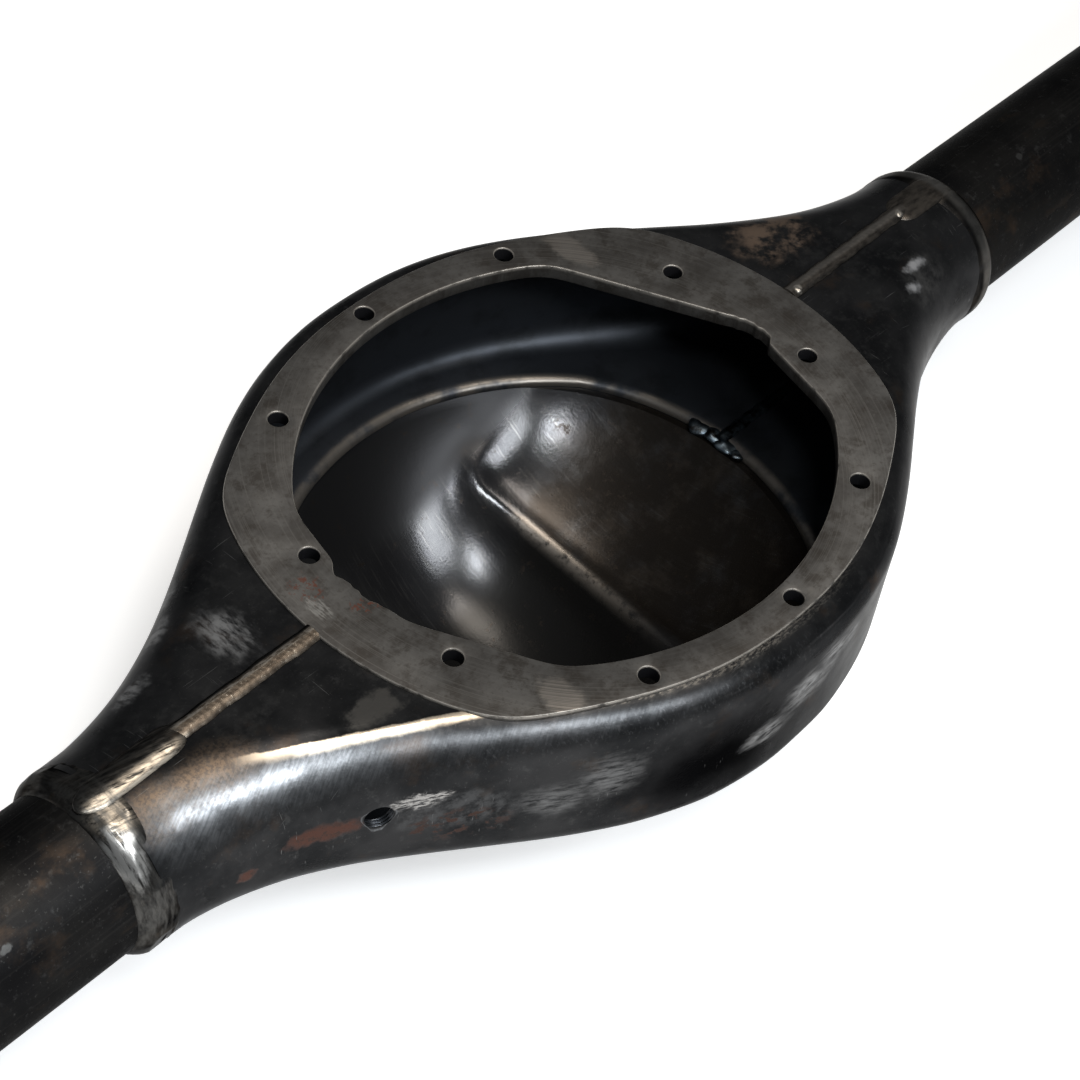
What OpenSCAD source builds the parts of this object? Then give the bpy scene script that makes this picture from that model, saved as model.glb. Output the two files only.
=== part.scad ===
// Welded banjo axle housing: two pressed half shells, a drilled face ring, a rear dome and two tubes.
// Millimetres. Origin on the face ring's top plane at the centre of its holes.
// +X runs along the tubes and +Z points out of the face.

/* [Axle tubes] */
// Outside diameter of an axle tube
tube_od = 76.2; // [70:0.1:80]
// Wall of an axle tube
tube_wall = 6.35; // [3:0.05:9]
// Distance from the middle of the housing to a tube's cut end
tube_reach = 655; // [420:1:900]
// Length of tube inside an arm
socket_depth = 32; // [20:1:45]

/* [Pressed shells] */
// Sheet thickness of the half shells
sheet = 4.75; // [3.5:0.05:6]
// Outside radius of an arm where it turns round
arm_r = 42; // [40.5:0.1:46]
// Half width of the pan across the tubes
pan_half_width = 147; // [142:0.5:165]
// Distance from the middle to the end of a pressed arm
arm_reach = 284; // [260:1:320]
// Length over which the pan narrows to a round arm
arm_run = 298; // [285:1:340]
// How long the pan keeps its width before it narrows
flare_hold = 1.15; // [1:0.01:1.4]
// How sharply the flare turns into the arm
flare_turn = 1.33; // [1:0.01:1.8]
// Outside bend radius of the pan on the face side
bend_front = 15; // [10:0.5:22]
// Outside bend radius of the pan on the dome side
bend_rear = 13; // [10:0.5:22]
// How quickly the bends open into the round arm
bend_fade = 0.6; // [0.4:0.05:1.2]
// Root gap between the two half shells, filled by the seam welds
seam_gap = 3; // [1:0.5:4]

/* [Face ring] */
// Thickness of the face ring
ring_thick = 8; // [6.5:0.5:12]
// Height of the ring's face above the arms' flat tops
ring_proud = 1.5; // [0.5:0.25:3]
// Turn of the ring about its own axis against the tubes
ring_turn = 3; // [0:0.5:5]
// Radius of the ring towards the tubes
ring_end_r = 162.5; // [155:0.5:170]
// Distance of the ring's long edges inside the pan's sides
ring_side_in = 9; // [6:0.5:13]
// Radius of the ring's two long edges
ring_side_r = 223; // [190:1:280]
// Width of the ring's face at the middle of its long edges
ring_side_w = 21.5; // [20:0.5:30]
// Radius of the opening's two long edges
opening_side_r = 153; // [145:1:180]
// Distance from the middle to the opening's straight cut at +X and +Y
cut_right_far = 117.5; // [114:0.5:126]
// Distance from the middle to the opening's straight cut at +X and -Y
cut_right_near = 126; // [118:0.5:130]
// Distance from the middle to the opening's straight cut at -X and +Y
cut_left_far = 130; // [118:0.5:132]
// Distance from the middle to the opening's straight cut at -X and -Y
cut_left_near = 125; // [116:0.5:130]
// Angle of the cuts at +X +Y and at -X -Y from a line across the tubes
cut_angle_wide = 23; // [16:0.5:26]
// Angle of the other two cuts from a line across the tubes
cut_angle_slim = 17; // [12:0.5:22]
// Distance that the ring's edge stays inside the pan's side
ring_trim = 14; // [11:0.5:16]
// Diameter of the carrier stud holes
stud_hole_d = 9.5; // [8:0.1:11]
// Stud hole nearest to the tubes, along and across them
stud_a = [131.6, 40.7]; // [35:0.1:140]
// Stud hole at the ring's shoulder, place along the tubes
stud_b_x = 80.5; // [75:0.1:86]
// Stud hole at the ring's shoulder, distance inside the middle of the long edge
stud_b_in = 31.9; // [28:0.1:36]
// Stud hole at the middle of a long edge, distance inside that edge
stud_c_in = 12.7; // [8:0.1:16]

/* [Rear dome] */
// Half width of the shells' rear opening across the tubes
rear_half_width = 121.5; // [112:0.5:124]
// Radius of the rear opening towards the tubes
rear_end_r = 131; // [120:0.5:132]
// Radius of the rear opening's long edges
rear_side_r = 147; // [140:1:180]
// Outside radius of the dome's flange
flange_r = 137; // [134:0.5:142]
// Inside radius of the dome's mouth
mouth_r = 127; // [118:0.5:129]
// Inside depth of the dome's round cap below its flange
dome_depth = 56; // [45:0.5:60]
// Depth that the ring gear pocket adds to the cap
pocket_depth = 24; // [12:0.5:28]
// Ridge between the pocket and the plateau, from the middle towards +X
ridge_x = 49; // [40:0.5:58]
// Middle of the ridge's bow, towards +Y
ridge_mid = 15; // [0:1:25]
// Radius of the ridge's bow in plan
ridge_bow_r = 250; // [200:5:500]
// End of the ridge towards +Y, where it turns round the plateau
ridge_top = 90; // [75:1:100]
// Radius of that turn
ridge_corner = 16; // [8:1:30]
// Height of the ridge's crest
crest_h = 2.5; // [0.5:0.1:3.5]
// Half width of the crest
crest_w = 8; // [5:0.5:12]
// Width of the flank between the ridge and the pocket's floor
flank_w = 66; // [50:1:80]
// Width over which the pocket runs out towards -X
pocket_run = 80; // [60:1:95]
// Width over which the pocket runs out beyond the ridge's end
pocket_fade = 22; // [12:1:40]
// Radius at which the pocket runs out below the dome's mouth
pocket_rim_r = 124; // [115:0.5:126]

/* [Filler hole] */
// Distance of the filler hole from the middle, towards -X
filler_reach = 191; // [180:1:205]
// Height of the filler hole above the tubes' axis
filler_rise = 8; // [0:0.5:12]
// Diameter of the filler hole at the thread's crests
filler_d = 13.2; // [10:0.1:16]

/* [Welds] */
// Width of a seam weld's cap
seam_w = 6.4; // [5:0.1:9]
// Height of a seam weld's cap
seam_h = 2; // [1:0.1:3]
// Length of the wide ground stretch of a front seam next to the collar
patch_len = 47; // [30:1:60]
// Width of the wide ground stretch
patch_w = 14; // [10:0.5:18]
// Height of the wide ground stretch
patch_h = 1.6; // [0.5:0.1:2.5]
// Length of a collar weld along the tube
collar_len = 16; // [10:0.5:22]
// Height of a collar weld's crown above the arm
collar_crown = 3.5; // [2.5:0.1:6]
// Height of a collar weld above the arm where the two meet
collar_step = 2.4; // [0.5:0.1:2.5]
// Distance from the arm's end to the ground crown
collar_lead = 3.2; // [1:0.1:4]
// Length of the ground crown
collar_flat = 5.6; // [3:0.1:6]
// Height of a collar weld's toe above the tube
collar_toe = 2; // [1:0.1:3.5]
// Leg of the weld round the dome's flange
dome_weld_leg = 4.5; // [3:0.1:4.75]

/* [Facets] */
// Stations along the shells
stations = 40; // [24:2:60]
// Steps in each bend of a shell
bend_steps = 8; // [5:1:12]

/* [Hidden] */
$fn = 96;
past = 1;                                   // how far a cut runs past the surface it opens
dome_cols = 40;                             // steps of the dome's net along X, an even number
dome_rows = 24;                             // steps of the dome's net along Y, an even number
ridge_edge = 2;                             // rounding of the ridge's edge
tube_r = tube_od / 2;
pan_top = -ring_proud;
axis_z = pan_top - arm_r;                   // height of the tubes' axis
pan_bottom = axis_z - arm_r;
ring_half_width = pan_half_width - ring_side_in;
opening_half_width = ring_half_width - ring_side_w;
stud_b = [stud_b_x, ring_half_width - stud_b_in];
stud_c = ring_half_width - stud_c_in;
ring_seat = ring_thick + sheet;             // depth cleared in the shells for the ring and its corners
flat_min = 1;                               // flat left beside the seam where the arm is round
trim_steps = 32;                            // steps along the ring's trimmed edge
dome_r = (mouth_r * mouth_r + dome_depth * dome_depth) / (2 * dome_depth);
dome_out_r = sqrt(mouth_r * mouth_r + 2 * dome_depth * sheet);
scale_steel = "#2c2b2a";
ring_steel = "#56524d";
weld_steel = "#6b655c";

// Share of the pan's swell left at x: 1 in the middle, 0 where the arm is round
function swell(x) =
    pow(0.5 + 0.5 * cos(180 * pow(min(abs(x) / arm_run, 1), flare_hold)), flare_turn);

function half_width(x) = arm_r + (pan_half_width - arm_r) * swell(x);

// Bend radius at x, opening from the pan's own bend to the arm's radius
function bend_at(x, r) =
    let (k = pow(swell(x), bend_fade))
    min(r * k + arm_r * (1 - k), half_width(x) - seam_gap / 2 - flat_min);

function arc(cy, cz, r, from, to, steps) =
    [for (i = [0:steps]) let (a = from + (to - from) * i / steps) [cy + r * cos(a), cz + r * sin(a)]];

// Half section of a shell at x, from the face seam to the rear seam, set in from the outside by inset
function half_section(x, inset) =
    let (w = half_width(x) - inset,
        top = pan_top - inset,
        bottom = pan_bottom + inset,
        rf = bend_at(x, bend_front) - inset,
        rr = bend_at(x, bend_rear) - inset,
        seam = seam_gap / 2)
    concat([[seam, top]],
        arc(w - rf, top - rf, rf, 90, 0, bend_steps),
        arc(w - rr, bottom + rr, rr, 0, -90, bend_steps),
        [[seam, bottom]]);

function reversed(list) = [for (i = [len(list) - 1:-1:0]) list[i]];

// Closed loop of sheet at x: outside one way, inside back
function sheet_loop(x) =
    [for (p = concat(half_section(x, 0), reversed(half_section(x, sheet)))) [x, p[0], p[1]]];

// Pressed half shell lofted through the sheet's sections, before it is cut
module pressed_half() {
    xs = [for (i = [0:stations]) -arm_reach + 2 * arm_reach * i / stations];
    loops = [for (x = xs) sheet_loop(x)];
    n = len(loops[0]);
    sides = [for (s = [0:stations - 1], k = [0:n - 1])
        let (a = s * n + k, b = s * n + (k + 1) % n)
        each [[a, b, a + n], [b, b + n, a + n]]];
    last = stations * n;
    near_cap = [for (k = [0:n / 2 - 2]) let (q = n - 1 - k) each [[k, q, k + 1], [k + 1, q, q - 1]]];
    far_cap = [for (t = near_cap) [last + t[0], last + t[2], last + t[1]]];
    polyhedron([for (l = loops) each l], concat(sides, near_cap, far_cap));
}

// Oval of two long edges and two round ends
module oval(half_w, side_r, end_r) {
    intersection() {
        circle(end_r);
        long_edges(half_w, side_r);
    }
}

// Lens between two arcs of side_r that face each other across the tubes
module long_edges(half_w, side_r) {
    intersection() {
        translate([0, half_w - side_r]) circle(side_r);
        translate([0, side_r - half_w]) circle(side_r);
    }
}

// Edge of the ring's trim on one side of the tubes: the pan's own outline, set in
function trim_edge(side) =
    [for (i = [-trim_steps:trim_steps])
        let (x = -side * (ring_end_r + past) * i / trim_steps)
        [x, side * (half_width(x) - ring_trim)]];

// Ring's oval, trimmed where it would run out over the pan's bends
module ring_outline() {
    intersection() {
        rotate(ring_turn) oval(ring_half_width, ring_side_r, ring_end_r);
        polygon(concat(trim_edge(1), trim_edge(-1)));
    }
}

// Half plane up to distance from the middle, in the direction of angle
module straight_cut(distance, angle) {
    size = 4 * ring_end_r;
    rotate(angle) translate([distance - size, -size / 2]) square(size);
}

// Carrier opening: long arcs, with straight cuts that meet in a corner over each tube
module opening_outline() {
    rotate(ring_turn)
        intersection() {
            long_edges(opening_half_width, opening_side_r);
            straight_cut(cut_right_far, cut_angle_wide);
            straight_cut(cut_right_near, -cut_angle_slim);
            straight_cut(cut_left_far, 180 - cut_angle_slim);
            straight_cut(cut_left_near, 180 + cut_angle_wide);
        }
}

module rear_outline() {
    oval(rear_half_width, rear_side_r, rear_end_r);
}

// Round bar along X on the tubes' axis, from x0 to x1
module axis_bar(r, x0, x1) {
    translate([x0, 0, axis_z]) rotate([0, 90, 0]) cylinder(h = x1 - x0, r = r);
}

// Both tube sockets
module sockets() {
    inner = arm_reach - socket_depth;
    axis_bar(tube_r, inner, arm_reach + past);
    axis_bar(tube_r, -arm_reach - past, -inner);
}

// What the ring, the dome's mouth and the tubes take out of a shell
module shell_cuts() {
    translate([0, 0, -ring_seat]) linear_extrude(ring_seat + past) ring_outline();
    translate([0, 0, pan_bottom - past]) linear_extrude(sheet + 2 * past) rear_outline();
    sockets();
}

// Filler hole, square to the flared wall of the lower half
module filler_cut() {
    step = 0.5;
    wall_y = half_width(filler_reach);
    slope = (half_width(filler_reach - step) - half_width(filler_reach + step)) / (2 * step);
    translate([-filler_reach, -wall_y, axis_z + filler_rise])
        rotate([0, 0, -atan(slope)])
            rotate([90, 0, 0])
                translate([0, 0, -2 * sheet]) cylinder(h = 4 * sheet, d = filler_d);
}

module upper_half_shell() {
    color(scale_steel)
        difference() {
            pressed_half();
            shell_cuts();
        }
}

module lower_half_shell() {
    color(scale_steel)
        difference() {
            mirror([0, 1, 0]) pressed_half();
            shell_cuts();
            filler_cut();
        }
}

module stud_holes() {
    rotate(ring_turn)
        for (sx = [1, -1], sy = [1, -1]) {
            translate([sx * stud_a[0], sy * stud_a[1]]) children();
            translate([sx * stud_b[0], sy * stud_b[1]]) children();
        }
    rotate(ring_turn)
        for (sy = [1, -1])
            translate([0, sy * stud_c]) children();
}

module face_ring() {
    color(ring_steel)
        difference() {
            translate([0, 0, -ring_thick]) linear_extrude(ring_thick) ring_outline();
            translate([0, 0, -ring_thick - past]) linear_extrude(ring_thick + 2 * past) opening_outline();
            stud_holes()
                translate([0, 0, -ring_thick - past])
                    cylinder(h = ring_thick + 2 * past, d = stud_hole_d);
        }
}

function limit(t) = min(max(t, 0), 1);

// Depth of the dome below the pan at x, y: a round cap, a pocket that runs out beyond the ridge,
// and a crest on the ridge; grow is 0 inside and the sheet outside
function bowl_depth(x, y, grow) =
    let (rho = norm([x, y]),
        cap = sqrt(pow(dome_r + grow, 2) - rho * rho) - dome_r + dome_depth,
        a = ridge_x - pow(y - ridge_mid, 2) / (2 * ridge_bow_r) - x + ridge_corner,
        b = y - ridge_top + ridge_corner,
        off = norm([max(a, 0), max(b, 0)]) + min(max(a, b), 0) - ridge_corner,
        t = limit((norm([off, ridge_edge]) + off) / (2 * flank_w)),
        left = limit((ridge_x - flank_w - x) / pocket_run),
        past_end = limit((x - ridge_x) / pocket_fade),
        fit = limit(1 - pow(rho / pocket_rim_r, 4)),
        fade = (1 - left * left) * (1 - past_end * past_end * (3 - 2 * past_end)),
        crest = exp(-pow(off / crest_w, 2)) * (1 - limit((x - ridge_x - 2 * crest_w) / (4 * crest_w))))
    cap + fit * (pocket_depth * fade * t * (2 - t) - crest_h * crest);

// Point of the dome's net on a disc of radius 1
function net(i, k) =
    let (u = 2 * i / dome_cols - 1, v = 2 * k / dome_rows - 1)
    [u * sqrt(1 - v * v / 2), v * sqrt(1 - u * u / 2)];

function net_points(r, grow) =
    [for (i = [0:dome_cols], k = [0:dome_rows])
        let (p = r * net(i, k))
        [p[0], p[1], pan_bottom - bowl_depth(p[0], p[1], grow)]];

// Number of a net point, counted from first
function at(first, i, k) = first + i * (dome_rows + 1) + k;

// Triangles of a net, seen from inside the dome
function net_faces(first) =
    [for (i = [0:dome_cols - 1], k = [0:dome_rows - 1])
        let (a = at(first, i, k),
            b = at(first, i, k + 1),
            c = at(first, i + 1, k),
            d = at(first, i + 1, k + 1),
            even = (i < dome_cols / 2) == (k < dome_rows / 2))
        each (even ? [[a, b, d], [a, d, c]] : [[a, b, c], [b, d, c]])];

// Place in the net of step j round its rim
function rim(j) =
    j < dome_rows ? [0, j]
    : j < dome_rows + dome_cols ? [j - dome_rows, dome_rows]
    : j < 2 * dome_rows + dome_cols ? [dome_cols, 2 * dome_rows + dome_cols - j]
    : [2 * (dome_rows + dome_cols) - j, 0];

// Triangles between two loops of the same number of points
function band(from, to) =
    let (n = len(from))
    [for (j = [0:n - 1])
        let (q = (j + 1) % n)
        each [[from[j], to[j], to[q]], [from[j], to[q], from[q]]]];

// Pressed dome with its flange, as one sheet
module rear_dome() {
    n = 2 * (dome_rows + dome_cols);
    size = (dome_cols + 1) * (dome_rows + 1);
    steps = [for (j = [0:n - 1]) rim(j)];
    edge = [for (q = steps) flange_r * net(q[0], q[1])];
    points = concat(net_points(mouth_r, 0),
        net_points(dome_out_r, sheet),
        [for (e = edge) [e[0], e[1], pan_bottom]],
        [for (e = edge) [e[0], e[1], pan_bottom - sheet]]);
    mouth = [for (q = steps) at(0, q[0], q[1])];
    root = [for (q = steps) at(size, q[0], q[1])];
    top = [for (j = [0:n - 1]) 2 * size + j];
    bottom = [for (j = [0:n - 1]) 2 * size + n + j];
    outside = [for (t = net_faces(size)) [t[0], t[2], t[1]]];
    color(scale_steel)
        polyhedron(points,
            concat(net_faces(0), band(mouth, top), band(top, bottom), band(bottom, root), outside));
}

module axle_tube() {
    color(scale_steel)
        difference() {
            axis_bar(tube_r, arm_reach - socket_depth, tube_reach);
            axis_bar(tube_r - tube_wall, arm_reach - socket_depth - past, tube_reach + past);
        }
}

module axle_tube_right() { axle_tube(); }
module axle_tube_left() { mirror([1, 0, 0]) axle_tube(); }

// Ground weld between an arm's end and its tube
module collar_weld() {
    crown = arm_r + collar_crown;
    color(weld_steel)
        translate([arm_reach, 0, axis_z])
            rotate([0, 90, 0])
                rotate_extrude()
                    polygon([[tube_r, 0], [arm_r + collar_step, 0], [crown, collar_lead],
                        [crown, collar_lead + collar_flat], [tube_r + collar_toe, collar_len],
                        [tube_r, collar_len]]);
}

module collar_weld_right() { collar_weld(); }
module collar_weld_left() { mirror([1, 0, 0]) collar_weld(); }

// Rounded weld cap along X on the plane z = 0, from x0 to x1
module weld_cap(w, h, x0, x1) {
    r = (w * w / 4 + h * h) / (2 * h);
    intersection() {
        translate([x0, 0, h - r]) rotate([0, 90, 0]) cylinder(h = x1 - x0, r = r);
        translate([x0, -w, 0]) cube([x1 - x0, 2 * w, 2 * h]);
    }
}

// Weld in the root gap between the shells, from x0 to the arm's end, hung below z = 0
module weld_root(x0) {
    translate([x0, -seam_gap / 2, -sheet]) cube([arm_reach - x0, seam_gap, sheet]);
}

// Seam on the face side of an arm, from the ring to the collar
module front_seam() {
    start = ring_end_r - 2 * past;
    color(weld_steel)
        difference() {
            translate([0, 0, pan_top]) {
                weld_root(start);
                weld_cap(seam_w, seam_h, start, arm_reach);
                weld_cap(patch_w, patch_h, arm_reach - patch_len, arm_reach);
            }
            translate([0, 0, -ring_seat]) linear_extrude(2 * ring_seat) ring_outline();
            sockets();
        }
}

module front_seam_right() { front_seam(); }
module front_seam_left() { rotate([0, 0, 180]) front_seam(); }

// Seam on the dome side of an arm, from the rear opening to the collar
module rear_seam() {
    start = rear_end_r - 2 * past;
    color(weld_steel)
        difference() {
            translate([0, 0, pan_bottom]) mirror([0, 0, 1]) {
                weld_root(start);
                weld_cap(seam_w, seam_h, flange_r, arm_reach);
            }
            translate([0, 0, pan_bottom - past]) linear_extrude(sheet + 2 * past) rear_outline();
            translate([0, 0, pan_bottom - 2 * sheet]) cylinder(h = 2 * sheet, r = flange_r + dome_weld_leg);
            sockets();
        }
}

module rear_seam_right() { rear_seam(); }
module rear_seam_left() { rotate([0, 0, 180]) rear_seam(); }

// Fillet round the dome's flange
module dome_weld() {
    color(weld_steel)
        translate([0, 0, pan_bottom])
            rotate_extrude()
                intersection() {
                    translate([flange_r, 0]) circle(dome_weld_leg);
                    translate([flange_r, -dome_weld_leg]) square(dome_weld_leg);
                }
}

upper_half_shell();
lower_half_shell();
face_ring();
rear_dome();
axle_tube_left();
axle_tube_right();
collar_weld_left();
collar_weld_right();
front_seam_left();
front_seam_right();
rear_seam_left();
rear_seam_right();
dome_weld();
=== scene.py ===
"""Looks of a bare welded banjo axle housing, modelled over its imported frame."""
import math

import bpy
import numpy as np
from mathutils import Matrix, Vector
from mathutils.geometry import delaunay_2d_cdt


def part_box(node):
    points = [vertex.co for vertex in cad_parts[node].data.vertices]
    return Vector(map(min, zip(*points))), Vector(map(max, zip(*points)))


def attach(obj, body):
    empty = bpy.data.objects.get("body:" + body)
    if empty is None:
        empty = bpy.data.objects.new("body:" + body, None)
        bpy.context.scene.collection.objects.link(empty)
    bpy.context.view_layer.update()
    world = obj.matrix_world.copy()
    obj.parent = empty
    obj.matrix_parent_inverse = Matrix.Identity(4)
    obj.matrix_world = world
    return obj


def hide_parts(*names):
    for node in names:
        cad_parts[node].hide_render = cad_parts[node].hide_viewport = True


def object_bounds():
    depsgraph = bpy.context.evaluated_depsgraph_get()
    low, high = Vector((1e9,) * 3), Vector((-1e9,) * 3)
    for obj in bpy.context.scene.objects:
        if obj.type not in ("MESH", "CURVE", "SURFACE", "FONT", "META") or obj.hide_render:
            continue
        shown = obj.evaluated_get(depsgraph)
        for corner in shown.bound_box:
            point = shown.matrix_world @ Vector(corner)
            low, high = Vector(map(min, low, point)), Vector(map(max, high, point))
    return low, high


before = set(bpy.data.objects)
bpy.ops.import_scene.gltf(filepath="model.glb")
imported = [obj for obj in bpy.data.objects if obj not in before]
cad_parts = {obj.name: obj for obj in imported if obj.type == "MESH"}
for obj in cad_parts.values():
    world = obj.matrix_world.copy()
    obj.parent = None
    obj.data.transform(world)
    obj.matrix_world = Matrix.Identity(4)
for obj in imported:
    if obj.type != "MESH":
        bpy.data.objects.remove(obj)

CAD_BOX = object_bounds()
MM = 0.001
SHARP = 35

# Driving sizes in millimetres, as in the solids
TUBE_LOW, TUBE_HIGH = (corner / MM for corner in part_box("axle_tube_right"))
TUBE_R = (TUBE_HIGH.z - TUBE_LOW.z) / 2
TUBE_WALL = 6.35
AXIS_Z = (TUBE_HIGH.z + TUBE_LOW.z) / 2
TUBE_REACH = TUBE_HIGH.x
TUBE_START = TUBE_LOW.x
SHEET = 4.75
ARM_R = 42.0
ARM_REACH = 284.0
ARM_RUN = 298.0
PAN_HALF_WIDTH = 147.0
FLARE_HOLD = 1.15
FLARE_TURN = 1.33
BEND_FRONT = 15.0
BEND_REAR = 13.0
BEND_FADE = 0.6
SEAM_GAP = 3.0
PAN_TOP = AXIS_Z + ARM_R
PAN_BOTTOM = AXIS_Z - ARM_R

RING_THICK = 8.0
RING_TURN = math.radians(3)
RING_END_R = 162.5
RING_HALF_WIDTH = 138.0
RING_SIDE_R = 223.0
OPENING_HALF_WIDTH = 116.5
OPENING_SIDE_R = 153.0
CUT_RIGHT_FAR = 117.5
CUT_RIGHT_NEAR = 126.0
CUT_LEFT_FAR = 130.0
CUT_LEFT_NEAR = 125.0
CUT_WIDE = 23.0
CUT_SLIM = 17.0
RING_TRIM = 14.0
STUD_HOLE_R = 4.75
STUD_A = (131.6, 40.7)
STUD_B = (80.5, 106.1)
STUD_C = 125.3

REAR_HALF_WIDTH = 121.5
REAR_END_R = 131.0
REAR_SIDE_R = 147.0
FLANGE_R = 137.0
MOUTH_R = 127.0
DOME_DEPTH = 56.0
DOME_R = (MOUTH_R ** 2 + DOME_DEPTH ** 2) / (2 * DOME_DEPTH)
POCKET_DEPTH = 24.0
RIDGE_X = 49.0
RIDGE_MID = 15.0
RIDGE_BOW_R = 250.0
RIDGE_TOP = 90.0
RIDGE_CORNER = 16.0
RIDGE_EDGE = 2.0
CREST_H = 2.5
CREST_W = 8.0
FLANK_W = 66.0
POCKET_RUN = 80.0
POCKET_FADE = 22.0
POCKET_RIM_R = 124.0

FILLER_REACH = 191.0
FILLER_RISE = 8.0
FILLER_R = 6.6

SEAM_W = 6.4
SEAM_H = 2.0
PATCH_LEN = 47.0
DOME_WELD_LEG = 4.5

# Forms of the scene alone: rounded edges and rear lip, thread, ground collars, beads as (half width,
# height), weld lumps inside as (x, y, rise, half size), and the pressed crease's line in plan as x and y
# shares and an offset
EDGE_R = 0.8
LIP_R = 6.0
THREAD_PITCH = 1.6
THREAD_DEPTH = 0.7
BEAD_Z = PAN_TOP - 0.15
COLLAR_CROWN_R = ARM_R + 1.3
COLLAR_START, COLLAR_END = ARM_REACH - 12, ARM_REACH + 13
BEAD_LEFT, PAD_LEFT = (4.7, 2.5), (7.6, 3.0)
BEAD_RIGHT, PAD_RIGHT = (4.4, 2.9), (9.0, 2.1)
ROOT_RUN = (3.4, 1.8)
LUMPS = ((131, 14, 1.4, 6.0), (132, 5.5, 2.2, 5.0), (131, -3.5, 1.6, 5.6), (130.5, -11, 1.4, 3.8))
CREASE = (0.486, 0.874, 132.7)
CREASE_H, CREASE_W, CREASE_MID, CREASE_RUN = 1.0, 2.6, -178, 50


# Mesh helpers

def placed(name, data):
    made = bpy.data.objects.new(name, data)
    bpy.context.scene.collection.objects.link(made)
    return made


def add_mesh(name, points, faces, material, body="root", sharp=SHARP, marks=None):
    """Makes a smooth-shaded piece from points in millimetres and lets it ride on a body."""
    mesh = bpy.data.meshes.new(name)
    mesh.from_pydata((np.asarray(points, float) * MM).tolist(), [], faces)
    for key, values in (marks or {}).items():
        mesh.attributes.new(key, "FLOAT", "POINT").data.foreach_set("value", np.asarray(values, np.float32))
    mesh.validate()
    mesh.shade_smooth()
    mesh.set_sharp_from_angle(angle=math.radians(sharp))
    mesh.materials.append(material)
    piece = placed(name, mesh)
    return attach(piece, body)


def grid_faces(rows, columns, wrap_rows=False, flip=False):
    """Quads over a grid of points stored row by row, each row closed."""
    faces = []
    for r in range(rows if wrap_rows else rows - 1):
        here, there = r * columns, (r + 1) % rows * columns
        for c in range(columns):
            on = (c + 1) % columns
            quad = (here + c, here + on, there + on, there + c)
            faces.append(quad[::-1] if flip else quad)
    return faces


def full_turn(count):
    """Angles once round, in even steps."""
    return np.linspace(0, 2 * math.pi, count + 1)[:-1]


def ring_points(r, angle, z):
    return np.stack([r * np.cos(angle), r * np.sin(angle), np.broadcast_to(z, angle.shape)], 1)


def stand_in(piece, slot, *nodes):
    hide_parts(*nodes)
    return piece


def waves(p, length, seed=0.0):
    """Smooth, repeatable unevenness between about -1 and 1 at points p, with bumps about length apart."""
    q = np.asarray(p, float) * (2 * math.pi / length)
    x, y, z = q[..., 0], q[..., 1], q[..., 2]
    return (np.sin(x + 1.7 * np.sin(0.61 * y + seed) + seed)
            + np.sin(y * 1.13 + 1.3 * np.sin(0.77 * z + 2.1 * seed))
            + np.sin(z * 0.91 + 1.9 * np.sin(0.53 * x - seed))) / 3


def ease(t):
    t = np.clip(t, 0, 1)
    return t * t * (3 - 2 * t)


# Pressed half shells: points along each side of a section, and the mark of a place far from a bend or lip

SHELL_POINTS = 84
FAR = 99.0


def swell(x):
    return (0.5 + 0.5 * np.cos(np.pi * min(abs(x) / ARM_RUN, 1) ** FLARE_HOLD)) ** FLARE_TURN


def half_width(x):
    return ARM_R + (PAN_HALF_WIDTH - ARM_R) * swell(x)


def bend_at(x, radius):
    k = swell(x) ** BEND_FADE
    return min(radius * k + ARM_R * (1 - k), half_width(x) - SEAM_GAP / 2 - 1)


def half_section(x, inset):
    """Section of a half shell at x as (y, z) points, from the face seam to the rear seam."""
    w, top, bottom = half_width(x) - inset, PAN_TOP - inset, PAN_BOTTOM + inset
    rf, rr = bend_at(x, BEND_FRONT) - inset, bend_at(x, BEND_REAR) - inset
    turn = np.radians(np.linspace(90, 0, 31))
    flat = np.linspace(SEAM_GAP / 2, w - rf, 24)[:-1]
    front = np.stack([w - rf + rf * np.cos(turn), top - rf + rf * np.sin(turn)], 1)
    rear = np.stack([w - rr + rr * np.cos(-turn[::-1]), bottom + rr + rr * np.sin(-turn[::-1])], 1)
    wall = np.linspace(front[-1], rear[0], 12)[1:-1]
    ledge = np.linspace(w - rr, SEAM_GAP / 2, 24)[1:]
    return np.concatenate([np.stack([flat, np.full(len(flat), top)], 1), front, wall, rear,
                           np.stack([ledge, np.full(len(ledge), bottom)], 1)])


def trimmed(section, y_face, y_rear, count, crowd):
    """Points along a section between two cuts, closer in the bends and, with crowd, near the rear cut."""
    step = np.diff(section, axis=0)
    length = np.hypot(step[:, 0], step[:, 1])
    heading = np.unwrap(np.arctan2(step[:, 1], step[:, 0]))
    bend = np.abs(np.diff(heading, prepend=heading[0]))
    s = np.concatenate([[0], np.cumsum(length / 12 + bend / 0.11)])
    widest = int(np.argmax(section[:, 0]))
    start = np.interp(y_face, section[:widest + 1, 0], s[:widest + 1])
    last = len(section) - 1 - int(np.argmax(section[::-1, 0]))
    end = np.interp(-y_rear, -section[last:, 0], s[last:])
    t = np.linspace(0, 1, count)
    if crowd:
        t = 1 - (1 - t) ** 1.6
    at = start + (end - start) * t
    return np.stack([np.interp(at, s, section[:, 0]), np.interp(at, s, section[:, 1])], 1)


def rear_edge_y(x):
    """Half width of the shells' rear opening at x."""
    if abs(x) >= REAR_END_R:
        return 0.0
    side = REAR_HALF_WIDTH - REAR_SIDE_R + math.sqrt(REAR_SIDE_R ** 2 - x ** 2)
    return max(min(math.sqrt(REAR_END_R ** 2 - x * x), side), 0.0)


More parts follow.
